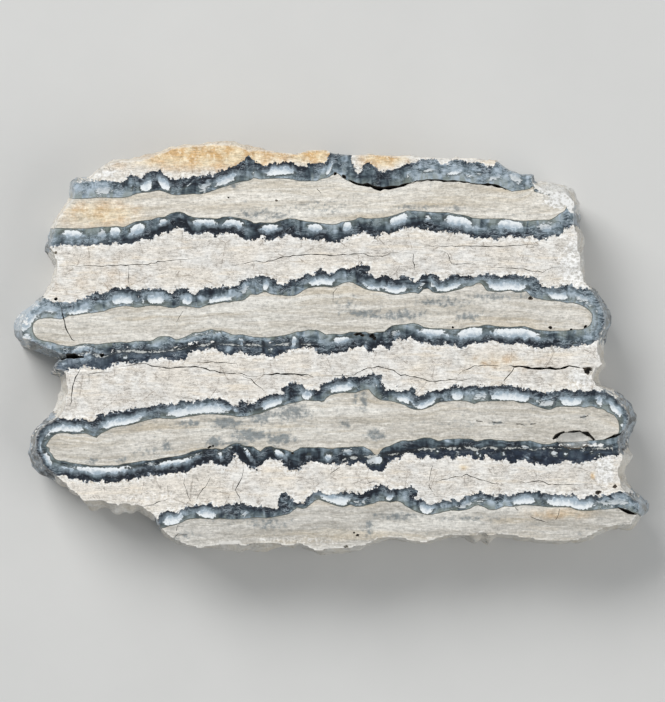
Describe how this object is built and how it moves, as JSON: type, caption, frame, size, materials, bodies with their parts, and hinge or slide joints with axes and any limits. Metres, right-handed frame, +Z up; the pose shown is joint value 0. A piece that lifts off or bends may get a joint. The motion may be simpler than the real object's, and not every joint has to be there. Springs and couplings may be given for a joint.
{
  "type": "fossil tooth slice",
  "caption": "Flat sawn slice of a Columbian mammoth molar with a polished face, rough tooth sides and wavy enamel bands.",
  "frame": {"origin": "middle of the slice's box, on the sawn underside that it lies on", "axes": "+X to the right along the plates as the picture shows them, +Y away from the viewer, +Z up out of the polished face"},
  "size_m": [0.107, 0.071, 0.013],
  "materials": {
    "fossil_tooth": "fossil dentine, cementum and enamel, polished to a low shine on the face"
  },
  "bodies": {
    "root": {"tooth_slice": "fossil_tooth"}
  },
  "joints": []
}
